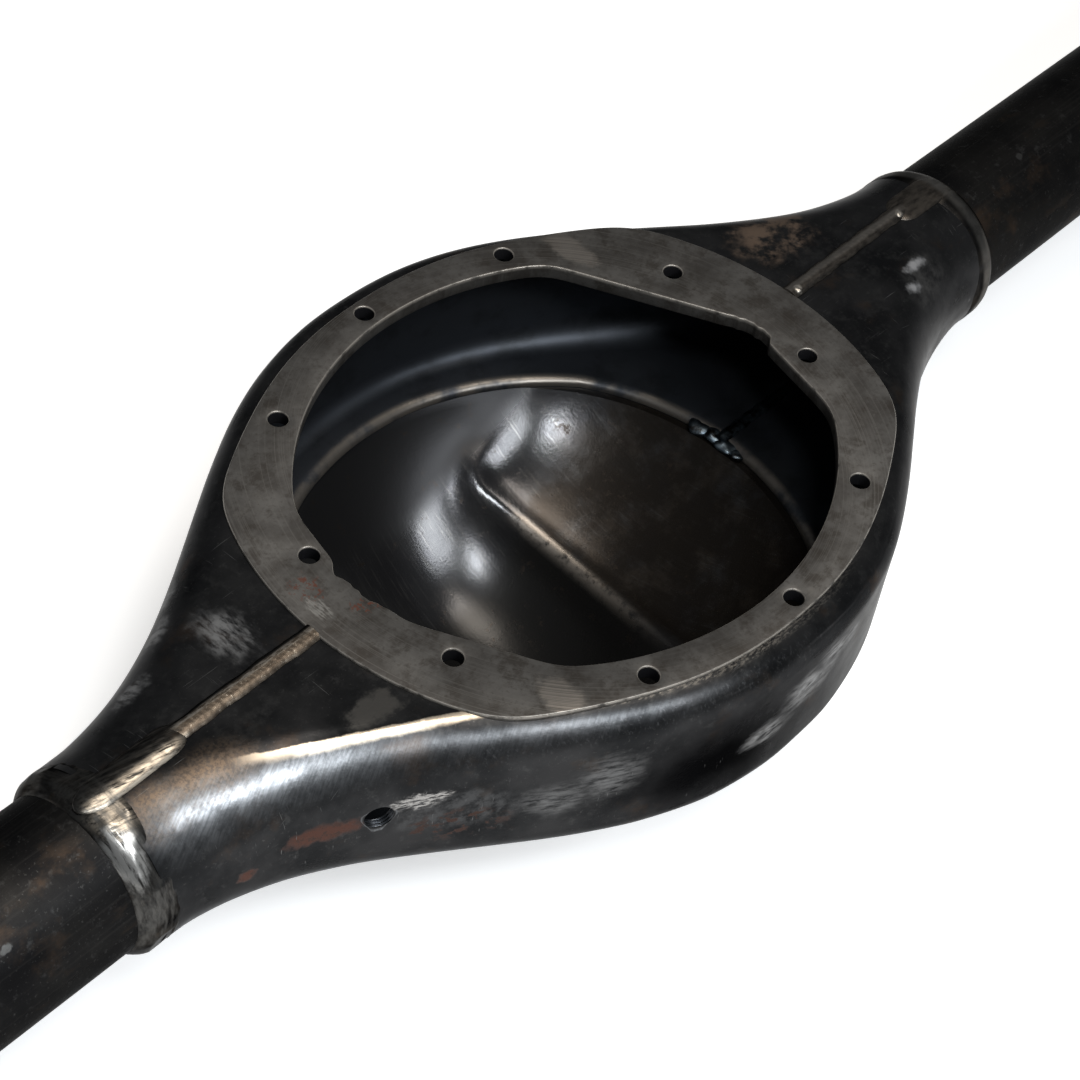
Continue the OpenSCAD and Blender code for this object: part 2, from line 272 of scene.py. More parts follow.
def rear_distance(x, y):
    """Distance outside the shells' rear opening."""
    return np.maximum(np.hypot(x, y) - REAR_END_R,
                      np.hypot(x, np.abs(y) + REAR_SIDE_R - REAR_HALF_WIDTH) - REAR_SIDE_R)


def stations():
    """Places along X for the shells' sections, crowded where the ring and the rear opening end."""
    turn = np.radians(np.linspace(-90, 90, 131))
    xs = np.concatenate([np.linspace(-ARM_REACH, ARM_REACH, 181),
                         RING_END_R * np.sin(turn), REAR_END_R * np.sin(turn)])
    xs.sort()
    keep = [xs[0]]
    for x in xs[1:]:
        if x - keep[-1] > 0.5:
            keep.append(x)
    keep[-1] = ARM_REACH
    return keep


def half_shell(name, side, material):
    """One pressed half: outside, rounded rear lip and inside as one closed sheet; side is +1 or -1 in Y."""
    rows, turns, lips = [], [], []
    edge_points = ring_outline() * (1, side)
    edge_points = edge_points[edge_points[:, 1] > 0]
    edge_points = edge_points[np.argsort(edge_points[:, 0])]
    for x in stations():
        y_face = max(SEAM_GAP / 2, np.interp(x, edge_points[:, 0], edge_points[:, 1], left=0, right=0))
        y_rear = max(SEAM_GAP / 2, rear_edge_y(x))
        outer = trimmed(half_section(x, 0), y_face, y_rear, SHELL_POINTS, False)
        inner = trimmed(half_section(x, SHEET), y_face, y_rear, SHELL_POINTS, True)
        # the rear lip is turned down and rounded
        d = np.maximum(rear_distance(x, inner[:, 0]), 0)
        low = inner[:, 1] < AXIS_Z
        drop = (SHEET - 0.4) * (1 - np.sqrt(1 - np.clip(1 - d / LIP_R, 0, 1) ** 2))
        inner[:, 1] -= np.where(low, drop, 0)
        front = outer[:, 1] > AXIS_Z
        if side < 0:
            # a pressed crease stands up along the near left arm, above the bend that carries a painted sheen
            off = CREASE[0] * x - CREASE[1] * outer[:, 0] + CREASE[2]
            height = CREASE_H * float(ease(1 - abs(x - CREASE_MID) / CREASE_RUN))
            outer[:, 1] += height * np.exp(-((off + 1) / CREASE_W) ** 2) * front
        bend = bend_at(x, BEND_FRONT)
        turn = np.degrees(np.arcsin(np.clip((outer[:, 0] - half_width(x) + bend) / bend, 0, 1)))
        turns.append(np.concatenate([np.where(front, turn, FAR), np.full(SHELL_POINTS, FAR)]))
        lips.append(np.concatenate([np.full(SHELL_POINTS, FAR), np.where(low, d, FAR)[::-1]]))
        loop = np.concatenate([outer, inner[::-1]])
        rows.append(np.column_stack([np.full(len(loop), x), side * loop[:, 0], loop[:, 1]]))
    grid = np.array(rows)
    # slight unevenness of the pressing
    near_arm = ease((np.abs(grid[..., 0]) - 90) / 120)
    push = 0.35 * waves(grid, 95, 1.0) + 0.2 * waves(grid, 41, 2.3)
    away = grid - np.array([0, 0, AXIS_Z])
    away[..., 0] = 0
    away /= np.linalg.norm(away, axis=-1, keepdims=True)
    free = ease((RING_END_R + 40 - np.abs(grid[..., 0])) / 200) * (grid[..., 2] < PAN_TOP - 6)
    push = push * np.maximum(free, near_arm * 0.5) * (np.abs(grid[..., 0]) < ARM_REACH - 8)
    grid += away * push[..., None]
    count, columns = grid.shape[:2]
    points = grid.reshape(-1, 3)
    faces = grid_faces(count, columns, flip=side > 0)
    for base, turned in ((0, side < 0), ((count - 1) * columns, side > 0)):
        for k in range(columns // 2 - 1):
            quad = (base + k, base + k + 1, base + columns - 2 - k, base + columns - 1 - k)
            faces.append(quad[::-1] if turned else quad)
    inside = np.tile(np.arange(columns) >= SHELL_POINTS, count)
    marks = {"inside": inside, "turn": np.concatenate(turns), "lip": np.concatenate(lips)}
    return add_mesh(name, points, faces, material, marks=marks)


def cut_filler_hole(shell):
    """Threads the filler hole through the flared wall of the lower half."""
    wall_y = half_width(FILLER_REACH)
    lean = math.atan(half_width(FILLER_REACH - 0.5) - half_width(FILLER_REACH + 0.5))
    out = np.array([-math.sin(lean), -math.cos(lean), 0])
    along = np.array([math.cos(lean), -math.sin(lean), 0])
    centre = np.array([-FILLER_REACH, -wall_y, AXIS_Z + FILLER_RISE])
    angle = full_turn(48)
    rows = []
    for t in np.arange(-2 * SHEET, SHEET, 0.2):
        turn = (t / THREAD_PITCH - angle / (2 * math.pi)) % 1
        r = FILLER_R - 0.3 + THREAD_DEPTH * np.abs(2 * turn - 1) + 0.3 * max(t, 0)
        up = np.array([0, 0, 1])
        rows.append(centre + t * out + np.outer(r * np.cos(angle), along) + np.outer(r * np.sin(angle), up))
    count, columns = len(rows), len(angle)
    faces = grid_faces(count, columns)
    faces += [tuple(range(columns))[::-1], tuple(range((count - 1) * columns, count * columns))]
    mesh = bpy.data.meshes.new("filler_cutter")
    mesh.from_pydata((np.concatenate(rows) * MM).tolist(), [], faces)
    cutter = placed("filler_cutter", mesh)
    step = shell.modifiers.new("filler_hole", "BOOLEAN")
    step.operation = "DIFFERENCE"
    step.solver = "EXACT"
    step.object = cutter
    bpy.context.view_layer.update()
    drilled = bpy.data.meshes.new_from_object(shell.evaluated_get(bpy.context.evaluated_depsgraph_get()))
    shell.modifiers.clear()
    shell.data = drilled
    bpy.data.objects.remove(cutter)
    drilled.set_sharp_from_angle(angle=math.radians(SHARP))


# Face ring

def turned(points):
    """Points of the ring's own frame turned about its axis into the housing's frame."""
    c, s = math.cos(RING_TURN), math.sin(RING_TURN)
    return np.asarray(points) @ np.array([[c, s], [-s, c]])


def smoothed(values, width):
    """Values round a closed outline, evened out over a width in steps."""
    reach = np.arange(-3 * width, 3 * width + 1)
    weights = np.exp(-0.5 * (reach / width) ** 2)
    return sum(w * np.roll(values, k) for w, k in zip(weights / weights.sum(), reach))


def ring_outline():
    """Points of the ring's outer outline, trimmed and rounded where it would overrun the shells' bends."""
    c = RING_SIDE_R - RING_HALF_WIDTH
    angles = full_turn(540)
    reaches, ways = [], turned(np.stack([np.cos(angles), np.sin(angles)], 1))
    for a, (x, y) in zip(angles, ways):
        reach = min(RING_END_R, -c * abs(math.sin(a)) + math.sqrt(RING_SIDE_R ** 2 - (c * math.cos(a)) ** 2))
        while abs(y) * reach > half_width(x * reach) - RING_TRIM:
            reach -= 0.05
        reaches.append(reach)
    return ways * smoothed(np.array(reaches), 6)[:, None]


def opening_outline():
    """Points of the carrier opening, with the rough cuts in both corners."""
    c = OPENING_SIDE_R - OPENING_HALF_WIDTH
    cuts = ((CUT_RIGHT_FAR, CUT_WIDE), (CUT_RIGHT_NEAR, -CUT_SLIM),
            (CUT_LEFT_FAR, 180 - CUT_SLIM), (CUT_LEFT_NEAR, CUT_WIDE - 180))
    degrees = np.linspace(-180, 180, 1081)[:-1]
    angles = np.radians(degrees)
    reach = -c * np.abs(np.sin(angles)) + np.sqrt(OPENING_SIDE_R ** 2 - (c * np.cos(angles)) ** 2)
    for distance, direction in cuts:
        facing = np.cos(angles - math.radians(direction))
        reach = np.where(facing > 0.3, np.minimum(reach, distance / np.maximum(facing, 0.3)), reach)
    reach = smoothed(reach, 9)
    # torn corners: a step at the right, a tongue and a bite at the left
    right = np.cos(angles) > 0
    tooth = np.clip((2 - degrees) / 9, 0, 1) * np.clip((degrees + 10.5) / 1.5, 0, 1)
    off = degrees - np.copysign(180, degrees)
    bite = 3.4 * np.exp(-((off + 11) / 2.2) ** 2) - 3.2 * np.exp(-((off - 1) / 4) ** 2)
    reach = reach + np.where(right, 3.4 * tooth, bite)
    torn = np.exp(-(np.where(right, degrees + 4, off + 5) / 6) ** 2)
    reach += torn * (0.30 * np.sin(1.5 * degrees) + 0.22 * np.sin(2.9 * degrees + 1))
    return turned(np.stack([np.cos(angles), np.sin(angles)], 1) * reach[:, None])


def stud_places():
    corners = [(sx * x, sy * y) for sx in (1, -1) for sy in (1, -1) for x, y in (STUD_A, STUD_B)]
    return [*corners, (0, STUD_C), (0, -STUD_C)]


def edge_normals(outline):
    """Directions square to a closed outline that runs anticlockwise, pointing out of it."""
    along = np.roll(outline, -1, axis=0) - np.roll(outline, 1, axis=0)
    along /= np.linalg.norm(along, axis=1, keepdims=True)
    return np.stack([along[:, 1], -along[:, 0]], 1)


def within(points, outline):
    """Which points lie inside a closed outline."""
    x, y = points[:, 0:1], points[:, 1:2]
    ax, ay = outline[:, 0], outline[:, 1]
    bx, by = np.roll(ax, -1), np.roll(ay, -1)
    across = (ay > y) != (by > y)
    left = x < ax + (y - ay) * (bx - ax) / np.where(by == ay, 1, by - ay)
    return (across & left).sum(axis=1) % 2 == 1


def face_ring(material):
    """Drilled plate with rounded edges, from its outlines."""
    outlines = [ring_outline(), opening_outline()]
    drill = STUD_HOLE_R * np.stack([np.cos(full_turn(40)), np.sin(full_turn(40))], 1)
    outlines += [turned(c) + drill for c in stud_places()]
    turns = np.radians(np.linspace(90, 0, 4))
    steps = [(EDGE_R * (1 - math.cos(a)), EDGE_R * (math.sin(a) - 1)) for a in turns]
    steps += [(inset, -RING_THICK - z) for inset, z in steps[::-1]]
    points, faces, tops, bottoms = [], [], [], []
    for k, outline in enumerate(outlines):
        into = -edge_normals(outline) if k == 0 else edge_normals(outline)
        first, count = sum(len(p) for p in points), len(outline)
        for inset, z in steps:
            points.append(np.column_stack([outline + inset * into, np.full(count, z)]))
        faces += [tuple(first + q for q in face) for face in grid_faces(len(steps), count, flip=k == 0)]
        tops.append(np.arange(first, first + count))
        bottoms.append(np.arange(first + (len(steps) - 1) * count, first + len(steps) * count))
    points = np.concatenate(points)
    top, bottom = np.concatenate(tops), np.concatenate(bottoms)
    loops, at = [], 0
    for group in tops:
        loops += [(at + i, at + (i + 1) % len(group)) for i in range(len(group))]
        at += len(group)
    flat = points[top][:, :2]
    triangles = np.array(delaunay_2d_cdt([Vector(p) for p in flat], loops, [], 0, 1e-6)[2])
    middles = flat[triangles].mean(axis=1)
    plate = within(middles, points[tops[0]])
    for group in tops[1:]:
        plate &= ~within(middles, points[group])
    faces += top[triangles[plate]].tolist() + bottom[triangles[plate][:, ::-1]].tolist()
    hole = np.arange(len(points)) >= tops[2][0]
    return add_mesh("face_ring_plate", points, faces, material, marks={"hole": hole})


# Rear dome

def ridge_distance(x, y):
    """Distance from the dome's ridge in plan, above 0 on the pocket's side."""
    a = RIDGE_X - (y - RIDGE_MID) ** 2 / (2 * RIDGE_BOW_R) - x + RIDGE_CORNER
    b = y - RIDGE_TOP + RIDGE_CORNER
    return np.hypot(np.maximum(a, 0), np.maximum(b, 0)) + np.minimum(np.maximum(a, b), 0) - RIDGE_CORNER


def dome_depth(x, y, grow):
    """Depth of the dome below the pan: a round cap, the ring gear's pocket and a crest on its ridge."""
    rho = np.hypot(x, y)
    cap = np.sqrt((DOME_R + grow) ** 2 - rho ** 2) - (DOME_R - DOME_DEPTH)
    off = ridge_distance(x, y)
    t = np.clip((np.hypot(off, RIDGE_EDGE) + off) / (2 * FLANK_W), 0, 1)
    left = np.clip((RIDGE_X - FLANK_W - x) / POCKET_RUN, 0, 1)
    fade = (1 - left ** 2) * (1 - ease((x - RIDGE_X) / POCKET_FADE))
    fit = np.clip(1 - (rho / POCKET_RIM_R) ** 4, 0, 1)
    crest = np.exp(-(off / CREST_W) ** 2) * (1 - np.clip((x - RIDGE_X - 2 * CREST_W) / (4 * CREST_W), 0, 1))
    return cap + fit * (POCKET_DEPTH * fade * t * (2 - t) - CREST_H * crest)


def rear_dome(material):
    """Dome with its flange as one closed pressed sheet."""
    around = 192
    theta = full_turn(around)

    def bowl_rings(grow, order):
        mouth = math.sqrt((DOME_R + grow) ** 2 - (DOME_R - DOME_DEPTH) ** 2)
        made = []
        for share in np.linspace(0.02, 1, 80)[::order]:
            rho = mouth * share
            x, y = rho * np.cos(theta), rho * np.sin(theta)
            made.append(np.stack([x, y, PAN_BOTTOM - dome_depth(x, y, grow)], 1))
        return made

    rings = bowl_rings(0, 1)
    inner_count = len(rings) + 1
    for r, z in ((FLANGE_R - 1, 0), (FLANGE_R, -1), (FLANGE_R, 1 - SHEET), (FLANGE_R - 1, -SHEET)):
        rings.append(ring_points(r, theta, PAN_BOTTOM + z))
    outer = bowl_rings(SHEET, -1)
    rings += [ring for ring in outer if ring[:, 2].max() < PAN_BOTTOM - SHEET - 0.3]
    points = np.concatenate(rings)
    faces = grid_faces(len(rings), around, flip=True)
    faces.append(tuple(range(around)))
    last = (len(rings) - 1) * around
    faces.append(tuple(range(last, last + around))[::-1])
    inside = np.repeat(np.arange(len(rings)) < inner_count, around)
    marks = {"inside": inside, "ridge": ridge_distance(points[:, 0], points[:, 1])}
    return add_mesh("rear_dome_pressing", points, faces, material, marks=marks)


# Tubes and welds

def revolve_x(name, profile, material, around=160, rough=None, sharp=SHARP):
    """Closed section of (x, radius) points turned about the tubes' axis; rough moves the radius by place."""
    angle = full_turn(around)
    rows = []
    for x, r in profile:
        radius = np.full(around, r)
        if rough:
            radius = rough(x, radius, angle)
        y, z = radius * np.cos(angle), AXIS_Z + radius * np.sin(angle)
        rows.append(np.stack([np.full(around, x), y, z], 1))
    faces = grid_faces(len(rows), around, wrap_rows=True, flip=True)
    return add_mesh(name, np.concatenate(rows), faces, material, sharp=sharp)


def axle_tube(name, side, material):
    bore = TUBE_R - TUBE_WALL
    steps = np.linspace(TUBE_START, TUBE_REACH - EDGE_R, 40)
    profile = [(x, TUBE_R) for x in steps]
    profile += [(TUBE_REACH, TUBE_R - EDGE_R), (TUBE_REACH, bore + EDGE_R)]
    profile += [(x, bore) for x in steps[::-1]]
    profile = [(side * x, r) for x, r in profile]
    return revolve_x(name, profile[::-1] if side > 0 else profile, material)


def collar_weld(name, side, material, facets, lumps):
    """Hand-ground weld between arm and tube; facets are ground flats at angles, lumps is its unevenness."""
    crown, start, end = COLLAR_CROWN_R, COLLAR_START, COLLAR_END
    t = np.linspace(0, 1, 30)
    x = start + (end - start) * t
    rise = ARM_R - 0.7 + (crown - ARM_R + 0.7) * ease(t / 0.45)
    fall = TUBE_R - 0.1 + (crown - TUBE_R + 0.1) * np.clip(1 - (np.maximum(t - 0.62, 0) / 0.38) ** 1.9, 0, 1)
    profile = [(side * a, r) for a, r in zip(x, np.where(t < 0.5, rise, fall))]
    profile += [(side * a, TUBE_R - 0.3) for a in (end, start)]

    def rough(px, radius, angle):
        if radius[0] < TUBE_R:
            return radius
        place = np.stack([np.full_like(angle, px), crown * np.cos(angle), crown * np.sin(angle)], -1)
        height = np.clip((radius[0] - TUBE_R) / (crown - TUBE_R), 0, 1) * ease((abs(px) - start) / 9)
        radius = radius + height * lumps * (0.6 * waves(place, 26, 4.0) + 0.4 * waves(place, 9, 7.0))
        for at, depth in facets:
            cut = (crown - depth) / np.maximum(np.cos(angle - math.radians(at)), 0.2)
            radius = np.minimum(radius, cut + 30 * (abs(px) < ARM_REACH - 3))
        return radius

    profile = profile[::-1] if side > 0 else profile
    return revolve_x(name, profile, material, around=256, rough=rough, sharp=50)


def joined(name, parts, material):
    """One piece from several closed forms, each given as points and faces."""
    points, faces, first = [], [], 0
    for part_points, part_faces in parts:
        points.append(part_points)
        faces += [tuple(first + k for k in face) for face in part_faces]
        first += len(part_points)
    return add_mesh(name, np.concatenate(points), faces, material, sharp=60)


def rounded(end):
    """Share of a pad's full size, where end rises from 0 to 1 at its tips."""
    return np.sqrt(np.clip(1 - np.clip(end, 0, 0.995) ** 2, 0, 1))


def bead(path, half_widths, heights, normal, ripple, crest=0.0):
    """Weld bead along X: a cap on a surface with its root in the gap below; crest shifts its top to +Y."""
    across = np.linspace(-1, 1, 21)
    rows = []
    for (x, y, z), w, h in zip(path, half_widths, np.broadcast_to(heights, len(path))):
        side = y + across * w
        place = np.stack([np.full_like(across, x), side, np.full_like(across, z)], -1)
        slope = (across - crest) / np.where(across < crest, 1 + crest, 1 - crest)
        cap = h * np.sqrt(np.clip(1 - slope ** 2 * 0.97, 0, 1))
        cap += ripple * h * (waves(place, 7.5, 1.3) * 0.5 + 0.5 * waves(place, 3.1, 5.0)) * (1 - across ** 2)
        top = np.stack([np.full_like(across, x), side, z + normal * cap], 1)
        root = np.array([[x, SEAM_GAP / 2, z - normal * 1.0], [x, -SEAM_GAP / 2, z - normal * 1.0]])
        rows.append(np.concatenate([top, root]))
    columns = len(rows[0])
    onward = (path[-1][0] > path[0][0]) == (normal > 0)
    faces = grid_faces(len(rows), columns, flip=onward)
    ends = (tuple(range(columns)), tuple(range((len(rows) - 1) * columns, len(rows) * columns)))
    faces += [ends[0][::-1], ends[1]] if not onward else [ends[0], ends[1][::-1]]
    return np.concatenate(rows), faces


def blob(centre, size, seed):
    """Lump of weld metal with three half sizes, a little uneven."""
    tilt = np.linspace(0, math.pi, 15)[1:-1]
    turn = full_turn(24)
    rings = [ring_points(np.sin(a), turn, np.cos(a)) for a in tilt]
    shape = np.concatenate([*rings, [[0, 0, 1], [0, 0, -1]]])
    shape = shape * (1 + 0.2 * waves(shape, 1.5, seed))[:, None]
    faces = grid_faces(len(rings), 24, flip=True)
    top, last = len(shape) - 2, (len(rings) - 1) * 24
    faces += [(top, k, (k + 1) % 24) for k in range(24)]
    faces += [(top + 1, last + (k + 1) % 24, last + k) for k in range(24)]
    return np.asarray(centre) + shape * np.asarray(size), faces


def front_seam_left(material):
    """Ground bead from the ring, a little to the far side of the split, and the wide pad over its end."""
    x = np.linspace(RING_END_R - 0.6, ARM_REACH - 40, 150)
    y = 2.3 - 0.6 * ease((x - 170) / 80) + 0.2 * np.sin(x * 0.21)
    w = BEAD_LEFT[0] + 0.16 * np.sin(x * 0.37) + 0.05 * np.sin(x * 1.3)
    path = [(-a, b, BEAD_Z) for a, b in zip(x, y)]
    parts = [bead(path, w, BEAD_LEFT[1], 1, 0.04, 0.45)]
    x = np.linspace(ARM_REACH - PATCH_LEN, ARM_REACH + 12, 90)
    end = np.maximum((ARM_REACH - PATCH_LEN + 11 - x) / 11, (x - ARM_REACH + 3) / 15)
    full = rounded(end)
    path = [(-a, 1.6 - 0.03 * (a - 237), BEAD_Z) for a in x]
    parts.append(bead(path, PAD_LEFT[0] * full, PAD_LEFT[1] * full, 1, 0.04, 0.15))
    return joined("front_bead_left", parts, material)


def front_seam_right(material):
    """Round bead as laid, with a bright stop at each end, and the low ground pad next to the collar."""
    x = np.linspace(RING_END_R - 0.6, ARM_REACH - 26, 150)
    w = BEAD_RIGHT[0] + 0.2 * np.sin(x * 0.31) + 0.12 * np.sin(x * 0.9)
    path = [(a, 1.4 * ease((a - 165) / 90), BEAD_Z) for a in x]
    parts = [bead(path, w, BEAD_RIGHT[1], 1, 0.05, 0.1)]
    x = np.linspace(ARM_REACH - 34, ARM_REACH + 8, 70)
    end = np.maximum((ARM_REACH - 24 - x) / 10, (x - ARM_REACH + 4) / 12)
    full = rounded(end)
    path = [(a, 1.4, BEAD_Z) for a in x]
    parts.append(bead(path, PAD_RIGHT[0] * full, PAD_RIGHT[1] * full, 1, 0.05))
    parts.append(blob((166.5, -1.5, PAN_TOP + 1.2), (2.6, 2.6, 1.6), 1.0))
    parts.append(blob((252, -0.5, PAN_TOP + 1.6), (2.2, 2.2, 1.3), 3.0))
    return joined("front_bead_right", parts, material)


def rear_seam(name, side, material):
    """Seam on the dome side, with its root run inside the arm and the lumps where it meets the dome."""
    x = np.linspace(FLANGE_R + DOME_WELD_LEG - 1, ARM_REACH - 2, 140)
    w = SEAM_W / 2 * (1 + 0.07 * np.sin(x * 0.8))
    parts = [bead([(side * a, 0, PAN_BOTTOM + 0.15) for a in x], w, SEAM_H, -1, 0.3)]
    x = np.linspace(REAR_END_R - 1, TUBE_START - 4, 110)
    w = ROOT_RUN[0] * (1 + 0.08 * np.sin(x * 0.7))
    path = [(side * a, 0, PAN_BOTTOM + SHEET - 0.3) for a in x]
    parts.append(bead(path, w, ROOT_RUN[1], 1, 0.35))
    for k, (a, y, z, size) in enumerate(LUMPS):
        parts.append(blob((side * a, y, PAN_BOTTOM + z), (size, 1.15 * size, 0.5 * size), 1.7 * k + side))
    return joined(name, parts, material)


def dome_weld(material):
    """Rippled fillet round the dome's flange."""
    theta = full_turn(720)
    turns = np.radians(np.linspace(0, -90, 9))
    rows = []
    ripple = 1 + 0.06 * np.sin(theta * 150) + 0.05 * np.sin(theta * 23)
    for a in turns:
        r = FLANGE_R - 0.4 + (DOME_WELD_LEG + 0.3) * math.cos(a) * ripple
        z = PAN_BOTTOM + 0.2 + DOME_WELD_LEG * math.sin(a) * ripple
        rows.append(ring_points(r, theta, z))
    rows.append(ring_points(FLANGE_R - 1.2, theta, PAN_BOTTOM - 0.5))
    faces = grid_faces(len(rows), len(theta), wrap_rows=True, flip=True)
    return add_mesh("dome_weld_bead", np.concatenate(rows), faces, material, sharp=60)


# Materials

class Finish:
    """Node builder for one finish; places and sizes are in millimetres of the housing's frame."""

    def __init__(self, name, anisotropic=0.0, edge_tint=0.4):
        self.material = bpy.data.materials.new(name)
        self.material.use_nodes = True
        self.tree = self.material.node_tree
        self.shader = self.tree.nodes["Principled BSDF"]
        self.shade({"Anisotropic": anisotropic, "Specular Tint": (edge_tint, edge_tint, edge_tint, 1)})
        self.place = self.vector("SCALE", self.node("ShaderNodeTexCoord").outputs["Object"], scale=1 / MM)
        self.x, self.y, self.z = self.node("ShaderNodeSeparateXYZ", {0: self.place}).outputs
        self.height = None
        self.color, self.roughness, self.metallic = (0.02, 0.02, 0.02, 1), 0.35, 1.0

    def feed(self, socket, value):
        if isinstance(value, bpy.types.NodeSocket):
            self.tree.links.new(value, socket)
        else:
            socket.default_value = value

    def shade(self, feeds):
        for name, value in feeds.items():
            self.feed(self.shader.inputs[name], value)
        return self.material

    def node(self, kind, feeds=None, **settings):
        """New node with its settings, and with values or sockets fed to its inputs."""
        made = self.tree.nodes.new(kind)
        for key, value in settings.items():
            setattr(made, key, value)
        for key, value in (feeds or {}).items():
            self.feed(made.inputs[key], value)
        return made

    def math(self, operation, a, b=0.0):
        return self.node("ShaderNodeMath", {0: a, 1: b}, operation=operation).outputs[0]

    def vector(self, operation, a, b=(0, 0, 0), scale=1.0):
        feeds = {0: a, "Scale": scale} if operation == "SCALE" else {0: a, 1: b}
        made = self.node("ShaderNodeVectorMath", feeds, operation=operation)
        return made.outputs["Value" if operation == "LENGTH" else "Vector"]

    def mark(self, name):
        """Value that the mesh itself carries at each point."""
        return self.node("ShaderNodeAttribute", attribute_name=name).outputs["Fac"]

    def noise(self, size, detail, rough, shift, place=None):
        """Noise between 0 and 1 with lumps about size apart; size is a number, or one number per axis."""
        size = (size, size, size) if isinstance(size, (int, float)) else size
        spot = self.vector("DIVIDE", self.place if place is None else place, size)
        spot = self.vector("ADD", spot, (shift, 1.7 * shift, 0.6 * shift))
        feeds = {"Vector": spot, "Scale": 1.0, "Detail": detail, "Roughness": rough}
        return self.node("ShaderNodeTexNoise", feeds).outputs["Fac"]

    def spun(self, degrees):
        """The place turned about Z, for marks that run at a slant."""
        feeds = {"Vector": self.place, "Angle": math.radians(degrees)}
        return self.node("ShaderNodeVectorRotate", feeds, rotation_type="Z_AXIS").outputs[0]

    def step(self, value, low, high, top=1.0):
        """Smooth step of a value from 0 at low to top at high; high may be below low."""
        ends = (0.0, top) if low < high else (top, 0.0)
        feeds = {"Value": value, "From Min": min(low, high), "From Max": max(low, high),
                 "To Min": ends[0], "To Max": ends[1]}
        return self.node("ShaderNodeMapRange", feeds, interpolation_type="SMOOTHSTEP").outputs["Result"]

    def blotch(self, size, detail, rough, shift, low, high, top=1.0):
        """Stepped noise."""
        return self.step(self.noise(size, detail, rough, shift), low, high, top)

    def about(self, value, level, far, near):
        """Mask that rises as a value comes from far off to near a level."""
        return self.step(self.math("ABSOLUTE", self.math("SUBTRACT", value, level)), far, near)

    def both(self, mask, *others):
        for other in others:
            mask = self.math("MULTIPLY", mask, other)
        return mask

    def either(self, mask, *others):
        for other in others:
            mask = self.math("MAXIMUM", mask, other)
        return mask

    def spot(self, centre, size, ragged, grain, soft=0.5):
        """Mask that is 1 round a place and runs out raggedly at its size."""
        away = self.vector("LENGTH", self.vector("DIVIDE", self.vector("SUBTRACT", self.place, centre), size))
        torn = self.math("SUBTRACT", self.noise(grain, 4, 0.6, centre[0]), 0.5)
        away = self.math("ADD", away, self.math("MULTIPLY", torn, 2 * ragged))
        return self.step(away, 1.0, 1.0 - soft)

    def spots(self, ragged, grain, soft, *places):
        return self.either(*(self.spot(centre, size, ragged, grain, soft) for centre, size in places))

    def mixed(self, factor, a, b):
        flat = isinstance(a, (int, float)) or getattr(a, "type", "") == "VALUE"
        kind, first, out = ("FLOAT", 2, 0) if flat else ("RGBA", 6, 2)
        return self.node("ShaderNodeMix", {0: factor, first: a, first + 1: b}, data_type=kind).outputs[out]

    def coat(self, mask, color=None, roughness=None, metallic=None):
        """Lays a colour, roughness or metal share over what is there, where the mask says."""
        if color is not None:
            self.color = self.mixed(mask, self.color, (*color, 1))
        if roughness is not None:
            self.roughness = self.mixed(mask, self.roughness, roughness)
        if metallic is not None:
            self.metallic = self.mixed(mask, self.metallic, metallic)

    def raise_by(self, mask, amount):
        """Adds to the relief, in millimetres."""
        part = self.math("MULTIPLY", mask, amount)
        self.height = part if self.height is None else self.math("ADD", self.height, part)

    def done(self):
        bump = self.node("ShaderNodeBump", {"Strength": 1.0, "Distance": MM, "Height": self.height})
        return self.shade({"Base Color": self.color, "Roughness": self.roughness,
                           "Metallic": self.metallic, "Normal": bump.outputs["Normal"]})


RUST = (0.064, 0.0225, 0.0135)
BROWN = (0.060, 0.040, 0.027)
BARE = (0.33, 0.32, 0.31)
SHEET_DARK = (0.012, 0.0125, 0.0135)
SHEET_LIGHT = (0.029, 0.029, 0.030)


def mill_scale(f, dark, light):
    """Blotched dark scale with fine flecks, common to the rolled and pressed pieces."""
    f.color = f.mixed(f.blotch(46, 5, 0.6, 0.0, 0.36, 0.64), (*dark, 1), (*light, 1))
    f.coat(f.blotch(34, 5, 0.62, 5.0, 0.56, 0.72, 0.5), BROWN)
    f.coat(f.blotch(7, 5, 0.7, 2.0, 0.56, 0.70, 0.5), (0.050, 0.050, 0.050))
    f.coat(f.blotch(1.3, 3, 0.6, 7.0, 0.62, 0.72, 0.5), (0.065, 0.064, 0.062))
    f.roughness = f.mixed(f.noise(14, 5, 0.65, 3.0), 0.24, 0.44)
    f.metallic = 0.86
    f.raise_by(f.noise(1.1, 3, 0.6, 4.0), 0.035)
    f.raise_by(f.noise(14, 3, 0.5, 6.0), 0.10)


